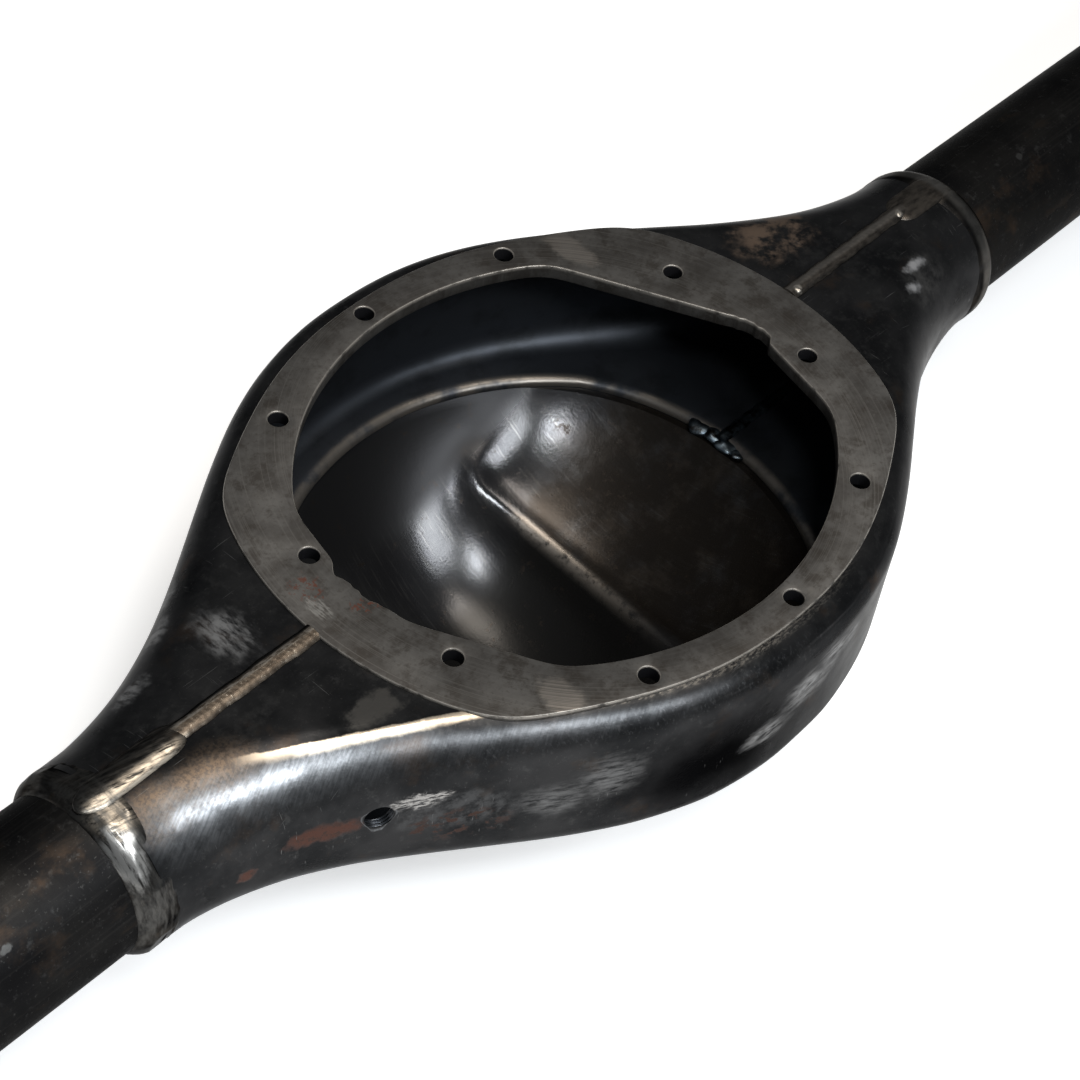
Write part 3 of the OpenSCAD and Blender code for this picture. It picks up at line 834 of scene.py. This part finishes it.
def pressed_sheet():
    """Pressed shells: dark scale, with scuffs, rust and bare marks where handling left them, and painted
    highlights, sheen and shade laid into the colour.
    """
    f = Finish("pressed_sheet")
    mill_scale(f, SHEET_DARK, SHEET_LIGHT)
    x, y, z = f.x, f.y, f.z
    inside, turn = f.mark("inside"), f.mark("turn")
    outside = f.math("SUBTRACT", 1.0, inside)
    smudge = f.noise(9, 5, 0.68, 11.0)

    def lay(mask, color, roughness=None, metallic=None):
        f.coat(f.both(mask, outside), color, roughness, metallic)

    # blue black inside, with the rear lip rubbed bare and lightened as a painted highlight
    f.coat(inside, (0.036, 0.0395, 0.046), 0.44, 0.78)
    f.coat(f.both(inside, f.blotch(26, 5, 0.65, 9.0, 0.48, 0.68, 0.8)), (0.024, 0.026, 0.029))
    # the lip's warm bare colour is partly a painted highlight on its rounding
    lip = f.both(inside, f.step(f.mark("lip"), 6.0, 2.5), f.blotch(24, 4, 0.6, 2.4, 0.32, 0.56))
    f.coat(lip, (0.135, 0.122, 0.108), 0.32)
    # hazy flats, finely browned beside the left collar
    lay(f.both(f.step(z, -9, -3), f.step(smudge, 0.48, 0.72, 0.5)), (0.042, 0.042, 0.042), 0.42)
    grain = f.mixed(f.blotch(1.5, 3, 0.6, 8.2, 0.36, 0.60), 0.35, 1.0)
    browned = f.either(f.spot((-246, -22, -4), (30, 17, 12), 0.4, 20, 0.8),
                       f.spot((-270, -20, -6), (22, 20, 14), 0.4, 16, 0.8))
    lay(f.both(browned, grain), (0.085, 0.063, 0.046), 0.42)
    # painted sheen along the bend of the near left arm, laid as lightened bare metal, and a painted highlight
    # on its crease
    near = f.both(f.step(y, -2, -12), f.step(x, -290, -262))
    painted_sheen_band = f.about(turn, 40.0, 26, 4)
    share = f.mixed(f.step(x, -222, -168), 1.0, f.step(x, -20, -120, 0.30))
    hatch = f.noise((13, 0.9, 6), 3, 0.6, 2.7, f.spun(-22))
    rubbed_sheen = f.both(f.mixed(f.step(hatch, 0.36, 0.64), 0.60, 1.0),
                    f.mixed(f.step(smudge, 0.36, 0.60), 0.45, 1.0))
    # painted sheen: lighter, cooler colour at the bend's turn where the lamp's reflection falls, partly bare
    # rubbed metal
    lay(f.both(near, painted_sheen_band, share, rubbed_sheen), (0.19, 0.197, 0.207), 0.28)
    off = f.math("ADD", f.math("MULTIPLY", x, CREASE[0]), CREASE[2])
    off = f.math("ADD", off, f.math("MULTIPLY", y, CREASE[1]))
    off = f.math("ADD", off, f.math("MULTIPLY", f.math("SUBTRACT", smudge, 0.5), 3.0))
    crease_highlight = f.both(near, f.step(off, 1.2, 0.2), f.step(off, -4.6, -1.0),
                    f.step(x, -236, -204), f.step(x, -132, -146))
    # painted highlight: a warm bare strip along the crease, placed where the overhead lamp's reflection falls
    lay(f.both(crease_highlight, f.step(z, -7, -5)), (0.62, 0.53, 0.42), 0.36)
    # scuffed edge of the bend beside the ring, and a painted sheen in fine ticks along the bend below it
    rim = f.both(f.step(z, -2.6, -1.7), f.step(y, -84, -100), f.step(x, 70, -30))
    lay(f.both(rim, f.blotch((3, 1, 1), 4, 0.75, 2.5, 0.44, 0.64, 0.7)), (0.165, 0.155, 0.14), 0.38)
    # painted sheen: a lighter band with fine ticks at a set turn of the bend
    sheen_ticks = f.both(f.about(turn, 48.0, 22, 6), f.step(y, -70, -90), f.step(x, 40, -60))
    lay(f.both(sheen_ticks, f.blotch((1.6, 3, 3), 5, 0.7, 3.7, 0.52, 0.68, 0.6)), (0.095, 0.096, 0.100), 0.36)
    # soft matte smears on the near wall, with painted shade: a broad darkened patch between them
    # painted shade: the near wall darkened broadly where it should look darker
    lay(f.spot((-56, -139, -48), (76, 60, 42), 0.3, 24, 0.9), (0.0085, 0.0085, 0.009), 0.36, 1.0)
    brushed = f.blotch((9, 9, 2.2), 5, 0.65, 3.9, 0.30, 0.66)
    wall = f.spots(0.35, 12, 0.9, ((24, -146, -26), (26, 24, 11)), ((2, -147, -35), (26, 24, 15)),
                   ((-24, -147, -48), (20, 24, 10)))
    lay(f.both(wall, brushed), (0.235, 0.235, 0.235), 0.52, 0.5)
    wall = f.spots(0.4, 12, 0.9, ((-124, -108, -45), (22, 22, 15)), ((-104, -119, -36), (22, 22, 20)))
    lay(f.both(wall, brushed), (0.120, 0.120, 0.121), 0.5, 0.6)
    # light smears on the left arm
    smears = f.spots(0.7, 7, 0.8, ((-205, 51, -13), (17, 9, 8)), ((-186, 66, -18), (14, 8, 9)),
                     ((-237, 34, -9), (15, 8, 7)))
    smears = f.either(f.spot((-190, 27, -1.5), (15, 21, 8), 0.6, 9, 0.8), smears)
    lay(f.both(smears, f.blotch((3, 9, 9), 5, 0.65, 5.9, 0.34, 0.62)), (0.15, 0.151, 0.153), 0.46, 0.6)
    lay(f.spot((-172, -44, -1.5), (15, 9, 5), 0.9, 8), (0.062, 0.060, 0.057), 0.42)
    # round the filler hole: grey wear, bare scratches, rust and brown spots
    wear = f.spot((-160, -84, -40), (50, 26, 15), 0.6, 18)
    lay(f.both(wear, f.step(smudge, 0.40, 0.62, 0.7)), (0.070, 0.071, 0.073), 0.48, 0.8)
    bare = f.spot((-176, -76, -30), (17, 10, 5.5), 0.9, 7)
    lay(f.both(bare, f.blotch((5, 3, 1), 5, 0.7, 4.4, 0.42, 0.58)), BARE, 0.36)
    flecks = f.spot((-160, -85, -50), (34, 20, 12), 0.5, 10)
    flecks = f.both(flecks, f.blotch((7, 7, 4), 4, 0.6, 6.1, 0.51, 0.58))
    lay(flecks, (0.040, 0.0185, 0.013), 0.7, 0.3)
    rust = f.either(f.spot((-211, -57.5, -37), (23, 12, 6.6), 0.7, 8),
                    f.spot((-245, -47, -46), (6, 5, 4.5), 0.7, 4))
    lay(rust, RUST, 0.72, 0.2)
    lay(f.both(rust, f.blotch(3, 4, 0.7, 5.5, 0.50, 0.64)), (0.035, 0.017, 0.012))
    # brown patches on the right arm, and bare scuffs lightened as painted glints with a painted sheen round
    # them
    patches = f.spot((192, 34, -3), (34, 22, 9), 0.6, 14)
    lay(f.both(patches, f.blotch(11, 5, 0.65, 7.7, 0.40, 0.60)), (0.112, 0.081, 0.061), 0.48, 0.7)
    # painted sheen: a soft lighter halo round the glints
    halo_sheen = f.spot((230, -35, -9), (30, 20, 16), 0.4, 18, 0.9)
    lay(f.both(halo_sheen, f.step(smudge, 0.30, 0.66)), (0.070, 0.069, 0.068), 0.46, 0.8)
    # bare scuffs, brightened as painted glints
    scuff_glints = f.spots(0.7, 5, 0.9, ((219, -36, -6), (9, 4, 6)), ((231, -27, -3.5), (12, 4, 6)))
    lay(scuff_glints, (0.36, 0.36, 0.37), 0.44, 0.75)
    # fine scratches in two directions, in places
    worn = f.blotch(30, 3, 0.5, 13.0, 0.50, 0.62)
    fine = f.either(f.blotch((30, 0.5, 8), 2, 0.5, 1.1, 0.70, 0.75),
                    f.blotch((0.6, 26, 9), 2, 0.5, 6.6, 0.71, 0.76))
    lay(f.both(fine, worn), (0.12, 0.12, 0.12))
    return f.done()


def face_plate():
    """Turned and stained face of the ring."""
    f = Finish("face_plate", anisotropic=0.45, edge_tint=0.5)
    radius = f.vector("LENGTH", f.vector("MULTIPLY", f.place, (1, 1, 0)))
    sweep = f.math("MULTIPLY", f.math("ARCTAN2", f.y, f.x), 14.0)
    lathe = f.node("ShaderNodeCombineXYZ", {0: radius, 1: sweep}).outputs[0]
    lines = f.noise((0.5, 26, 1), 3, 0.6, 0.0, lathe)
    f.color = f.mixed(f.blotch(30, 5, 0.65, 0.0, 0.35, 0.66),
                      (0.044, 0.0405, 0.037, 1), (0.086, 0.082, 0.077, 1))
    f.coat(f.blotch(13, 5, 0.7, 3.0, 0.48, 0.66, 0.75), (0.029, 0.0245, 0.0205))
    f.coat(f.blotch(8, 5, 0.7, 8.0, 0.58, 0.72, 0.5), (0.085, 0.080, 0.073))
    f.coat(f.step(lines, 0.50, 0.70, 0.6), (0.096, 0.091, 0.084))
    f.roughness = f.mixed(f.noise(16, 5, 0.65, 2.0), 0.42, 0.58)
    f.metallic = 0.55
    f.coat(f.blotch(2.2, 4, 0.7, 6.3, 0.52, 0.70, 0.55), (0.036, 0.0315, 0.027))
    rust = f.spots(0.8, 3, 0.5, ((-148, 21, 0), (8, 10, 6)), ((-136, -3, 0), (9, 6, 6)))
    f.coat(f.both(rust, f.blotch(2.0, 4, 0.65, 1.0, 0.50, 0.58)), RUST, 0.7, 0.2)
    scuff = f.both(f.spot((-152, 10, 0), (5, 9, 6), 0.5, 4), f.blotch((1.2, 6, 3), 3, 0.6, 0.0, 0.40, 0.6))
    f.coat(scuff, (0.17, 0.165, 0.155), 0.38)
    # painted highlight: two bright fans where the turned face would catch the lamp
    painted_fans = f.spots(0.6, 9, 0.5, ((-112, -92, 0), (10, 15, 6)), ((103, 92, 0), (9, 20, 6)))
    f.coat(f.both(painted_fans, f.step(lines, 0.20, 0.80)), (0.24, 0.215, 0.19), 0.38, 0.8)
    # worn edges, and painted shade darkening the stud holes
    edge = f.both(f.step(f.z, -2.4, -0.5), f.step(f.z, -0.02, -0.25), f.blotch(6, 4, 0.6, 9.0, 0.28, 0.52))
    f.coat(edge, (0.26, 0.24, 0.215), 0.34)
    # painted shade inside the stud holes
    f.coat(f.both(f.mark("hole"), f.step(f.z, -0.5, -1.1)), (0.016, 0.016, 0.018), 0.5)
    f.raise_by(lines, 0.012)
    f.raise_by(f.noise(1.4, 3, 0.6, 5.0), 0.02)
    tangent = f.node("ShaderNodeTangent", direction_type="RADIAL", axis="Z")
    f.shade({"Tangent": tangent.outputs[0]})
    return f.done()


def dome_sheet():
    """Pressed dome: a smooth brushed bowl inside, dark scale outside."""
    f = Finish("dome_sheet")
    mill_scale(f, SHEET_DARK, SHEET_LIGHT)
    inside, off = f.mark("inside"), f.mark("ridge")
    bowl = f.mixed(f.blotch(38, 5, 0.62, 2.2, 0.36, 0.66), (0.028, 0.028, 0.030, 1), (0.040, 0.040, 0.041, 1))
    plateau = f.both(f.step(f.x, 42, 54), f.step(f.y, 62, 40), f.blotch(30, 5, 0.65, 4.6, 0.32, 0.60))
    bowl = f.mixed(plateau, bowl, (0.042, 0.035, 0.029, 1))
    brush = f.noise((1.3, 22, 22), 4, 0.65, 1.2)
    bowl = f.mixed(f.step(brush, 0.52, 0.70, 0.5), bowl, (0.080, 0.078, 0.075, 1))
    f.color = f.mixed(inside, f.color, bowl)
    f.roughness = f.mixed(inside, f.roughness, f.mixed(f.noise(18, 5, 0.65, 3.1), 0.15, 0.24))
    f.coat(f.both(inside, f.step(f.y, 38, 60)), roughness=0.15)
    f.metallic = f.mixed(inside, 1.0, 0.78)
    # the pocket, darkened in places as painted shade, the stained plateau beside it and the ridge between
    # them, rubbed bare and given a painted highlight
    pocket = f.both(inside, f.step(off, -1, 5))
    f.coat(pocket, roughness=0.20)
    # painted shade: the lower pocket darkened to hold back a lamp's reflection
    f.coat(f.both(pocket, f.step(f.y, 58, 42)), (0.019, 0.0185, 0.018), 0.27)
    flat = f.both(inside, f.step(off, -2, -9), f.step(f.y, 78, 50))
    f.coat(flat, roughness=0.27)
    f.coat(f.both(flat, f.blotch(22, 5, 0.68, 7.4, 0.28, 0.56, 0.9)), (0.018, 0.0150, 0.0125))
    # painted shade: darker and rougher where the pocket wraps round the ridge's upper corner
    f.coat(f.both(inside, f.step(off, -9, -1), f.step(f.y, 86, 99)), (0.020, 0.020, 0.021), 0.42)
    # painted highlight: the ridge lightened as bare metal so that it reads lit along its length
    rubbed_sheen = f.both(inside, f.about(off, 0.0, 5, 0.5), f.step(f.y, -60, 10), f.step(f.y, 66, 48),
                    f.blotch(7, 4, 0.65, 4.1, 0.28, 0.55))
    f.coat(rubbed_sheen, (0.150, 0.133, 0.115), 0.36)
    f.coat(f.both(inside, f.blotch(9, 5, 0.7, 5.2, 0.60, 0.72, 0.7)), (0.030, 0.023, 0.018), 0.40)
    f.raise_by(f.both(brush, inside), 0.03)
    return f.done()


def drawn_tube():
    """Drawn tubes: dark scale with long faint draw lines and a few nicks."""
    f = Finish("tube_steel", edge_tint=0.35)
    mill_scale(f, (0.009, 0.009, 0.0095), (0.017, 0.0165, 0.016))
    f.roughness = f.mixed(f.noise(14, 5, 0.65, 3.0), 0.42, 0.58)
    f.metallic = 0.92
    lines = f.noise((90, 1.6, 1.6), 3, 0.6, 2.0)
    f.coat(f.step(lines, 0.54, 0.70, 0.4), (0.027, 0.026, 0.025))
    nicks = f.spots(0.9, 3, 0.5, ((349, -11, -7), (3.0, 2.4, 3)), ((-352, -24, -14), (4, 2, 3)))
    f.coat(nicks, (0.055, 0.055, 0.054), 0.42)
    f.coat(f.blotch((30, 12, 12), 5, 0.65, 8.0, 0.58, 0.72, 0.4), (0.032, 0.025, 0.020), 0.48)
    f.raise_by(lines, 0.015)
    return f.done()


def weld_metal():
    """Welds: dark heat-tinted metal, ground bright on the left collar and along the left front seam, with
    painted highlights on bead flanks, crests, stops, the pad and the right collar's lip.
    """
    f = Finish("weld_bead")
    f.color = f.mixed(f.blotch(12, 4, 0.6, 0.0, 0.35, 0.65),
                      (0.014, 0.0138, 0.014, 1), (0.030, 0.028, 0.026, 1))
    f.coat(f.blotch(8, 4, 0.6, 4.0, 0.58, 0.70, 0.6), (0.045, 0.036, 0.028))
    f.coat(f.blotch(14, 3, 0.6, 7.0, 0.58, 0.72, 0.5), (0.024, 0.029, 0.038))
    f.roughness = f.mixed(f.noise(6, 4, 0.6, 2.0), 0.28, 0.44)
    x, y, z = f.x, f.y, f.z
    grind = f.noise((1.6, 10, 10), 4, 0.65, 3.0)
    top = f.step(z, -7, -4)
    # lower flank of the left bead, ground bronze and lightened as a painted highlight, with bright flecks as
    # painted glints
    flank = f.both(top, f.step(x, -152, -157), f.step(x, -248, -238), f.step(y, 5.0, 3.6))
    f.coat(flank, (0.088, 0.072, 0.057), 0.38)
    f.coat(f.both(flank, f.blotch((11, 2, 2), 4, 0.6, 6.0, 0.50, 0.66, 0.7)), (0.045, 0.035, 0.027), 0.40)
    f.coat(f.both(flank, f.blotch(1.2, 3, 0.65, 1.0, 0.60, 0.68, 0.8)), (0.25, 0.225, 0.19), 0.34)
    # painted highlight line near the bead's crest
    ridge = f.both(flank, f.step(y, 2.0, 3.0), f.blotch((6, 1, 1), 4, 0.7, 1.4, 0.44, 0.60))
    f.coat(ridge, (0.36, 0.33, 0.29), 0.30)
    # ground pad: grey, with a painted highlight along its near side
    pad = f.both(top, f.step(x, -236, -240), f.step(x, -300, -292))
    along = f.noise((12, 1.5, 1.5), 4, 0.65, 3.0, f.spun(12))
    f.coat(f.both(pad, f.step(along, 0.36, 0.66)), (0.068, 0.064, 0.059), 0.38)
    f.coat(f.both(pad, f.step(y, 0.0, -2.6), f.step(along, 0.32, 0.58)), (0.32, 0.28, 0.23), 0.34)
    # right bead, pad and collar lip: dull brown grey, with painted highlights on the bead's crest and on the
    # lip
    right = f.both(top, f.step(x, 155, 158), f.step(x, 297, 290), f.about(y, 1.4, 12, 8))
    dull = f.mixed(f.blotch((9, 3, 3), 5, 0.65, 2.9, 0.30, 0.62), 0.35, 1.0)
    f.coat(f.both(right, dull), (0.066, 0.058, 0.050), 0.40, 0.85)
    # painted highlight along the top of the right bead
    crest = f.both(right, f.step(y, -1.6, 0.4), f.step(y, 4.2, 2.0), f.step(x, 262, 250))
    f.coat(crest, (0.135, 0.124, 0.112), 0.36)
    # painted highlight: a lighter rim along the right collar's lip
    lip = f.both(f.step(x, 282, 286), f.step(x, 294, 290),
                 f.mixed(f.blotch(9, 4, 0.6, 1.9, 0.25, 0.6), 0.4, 1.0))
    f.coat(lip, (0.115, 0.110, 0.103), 0.36)
    # left collar: grey all round, with a bright brushed facet on the near side that is partly a painted
    # highlight
    left = f.step(x, -276, -281)
    grey = f.both(left, f.blotch((3, 12, 12), 5, 0.65, 8.8, 0.34, 0.66, 0.9),
                  f.mixed(f.step(y, 16, -2), 0.6, 1.0))
    f.coat(grey, (0.080, 0.078, 0.074), 0.36)
    # ground facet, lightened as a painted highlight
    facet = f.spot((-292, -25, -11), (9, 17, 15), 0.5, 9)
    f.coat(f.both(facet, f.step(grind, 0.34, 0.56)), (0.50, 0.49, 0.47), 0.30)
    # stops of the right bead lightened as painted highlights, blue lumps inside
    stops = f.spots(0.4, 2, 0.5, ((166.5, -1.5, 0), (3.2, 3.2, 3)), ((252, -0.5, 0), (2.8, 2.8, 3)))
    f.coat(stops, (0.30, 0.28, 0.25), 0.38)
    lumps = f.both(f.step(z, -76, -80), f.about(y, 0.0, 26, 20), f.step(z, -89, -86))
    f.coat(f.both(lumps, f.blotch(6, 4, 0.6, 9.0, 0.36, 0.58)), (0.13, 0.165, 0.195), 0.36)
    f.raise_by(f.noise(1.4, 3, 0.6, 5.0), 0.035)
    f.raise_by(f.both(grind, left), 0.05)
    return f.done()


sheet_steel = pressed_sheet()
ring_steel = face_plate()
dome_steel = dome_sheet()
tube_steel = drawn_tube()
weld_steel = weld_metal()

# Pieces

stand_in(half_shell("upper_half_pressing", 1, sheet_steel), "pressed_sheet", "upper_half_shell")
lower_half = stand_in(half_shell("lower_half_pressing", -1, sheet_steel), "pressed_sheet", "lower_half_shell")
cut_filler_hole(lower_half)
stand_in(face_ring(ring_steel), "face_plate", "face_ring")
stand_in(rear_dome(dome_steel), "dome_sheet", "rear_dome")
for word, side in (("left", -1), ("right", 1)):
    stand_in(axle_tube(f"drawn_tube_{word}", side, tube_steel), "tube_steel", f"axle_tube_{word}")
    facets = ((62, 0.9), (100, 0.6), (140, 0.8), (200, 0.9)) if side < 0 else ()
    lumps = 0.7 if side < 0 else 0.15
    collar = collar_weld(f"collar_bead_{word}", side, weld_steel, facets, lumps)
    stand_in(collar, "weld_bead", f"collar_weld_{word}")
    stand_in(rear_seam(f"rear_bead_{word}", side, weld_steel), "weld_bead", f"rear_seam_{word}")
stand_in(front_seam_left(weld_steel), "weld_bead", "front_seam_left")
stand_in(front_seam_right(weld_steel), "weld_bead", "front_seam_right")
stand_in(dome_weld(weld_steel), "weld_bead", "dome_weld")

# Floor, light and camera

FLOOR_GLOW = 0.45
scene = bpy.context.scene
scene.view_settings.view_transform = "Standard"


def floor_material():
    """Pale floor that reads as white to the camera and in reflections, and still takes the shadow."""
    f = Finish("studio_floor", edge_tint=1.0)
    ray = f.node("ShaderNodeLightPath").outputs
    seen = f.either(ray["Is Camera Ray"], ray["Is Glossy Ray"], ray["Is Transmission Ray"])
    return f.shade({"Base Color": (0.86, 0.86, 0.86, 1), "Roughness": 0.9, "Emission Color": (1, 1, 1, 1),
                    "Emission Strength": f.math("MULTIPLY", seen, FLOOR_GLOW)})


def add_floor():
    size = 6.0
    z = CAD_BOX[0][2]
    mesh = bpy.data.meshes.new("studio_floor")
    corners = [(-size, -size, z), (size, -size, z), (size, size, z), (-size, size, z)]
    mesh.from_pydata(corners, [], [(0, 1, 2, 3)])
    mesh.materials.append(floor_material())
    floor = placed("studio_floor", mesh)


def add_softbox(name, direction, distance, size, power, color=(1, 1, 1)):
    light = bpy.data.lights.new(name, "AREA")
    light.shape = "RECTANGLE"
    light.size, light.size_y = size
    light.energy = power
    light.color = color
    lamp = placed(name, light)
    direction = Vector(direction).normalized()
    lamp.location = direction * distance
    lamp.rotation_euler = direction.to_track_quat("Z", "Y").to_euler()


def aim(azimuth, elevation):
    """Direction from the object to a light, in degrees round from +X and up from the floor."""
    a, e = math.radians(azimuth), math.radians(elevation)
    return math.cos(a) * math.cos(e), math.sin(a) * math.cos(e), math.sin(e)


def add_camera():
    """Camera at the photograph's angle: its place in millimetres, and its right and up directions."""
    place = Vector((-710.15, -479.15, 854.74)) * MM
    right = Vector((0.6630, -0.7389, 0.1200)).normalized()
    up = Vector((0.4937, 0.5521, 0.6719))
    back = right.cross(up).normalized()
    up = back.cross(right)
    data = bpy.data.cameras.new("camera")
    data.sensor_width = 36
    data.lens = 88.87
    camera = placed("camera", data)
    camera.matrix_world = Matrix.Translation(place) @ Matrix((right, up, back)).transposed().to_4x4()
    scene.camera = camera


world = bpy.data.worlds.new("studio")
scene.world = world
world.use_nodes = True
world.node_tree.nodes["Background"].inputs["Color"].default_value = (0.9, 0.95, 1.0, 1)
world.node_tree.nodes["Background"].inputs["Strength"].default_value = 0.16

add_floor()
add_softbox("overhead", aim(-50, 81), 1.6, (0.6, 0.6), 16, (1, 0.93, 0.84))
add_softbox("front", aim(-98, 46), 1.6, (0.6, 0.45), 18, (0.93, 0.97, 1))
add_softbox("camera_side", aim(-136, 55), 1.6, (0.2, 0.2), 8, (0.93, 0.97, 1))
add_camera()
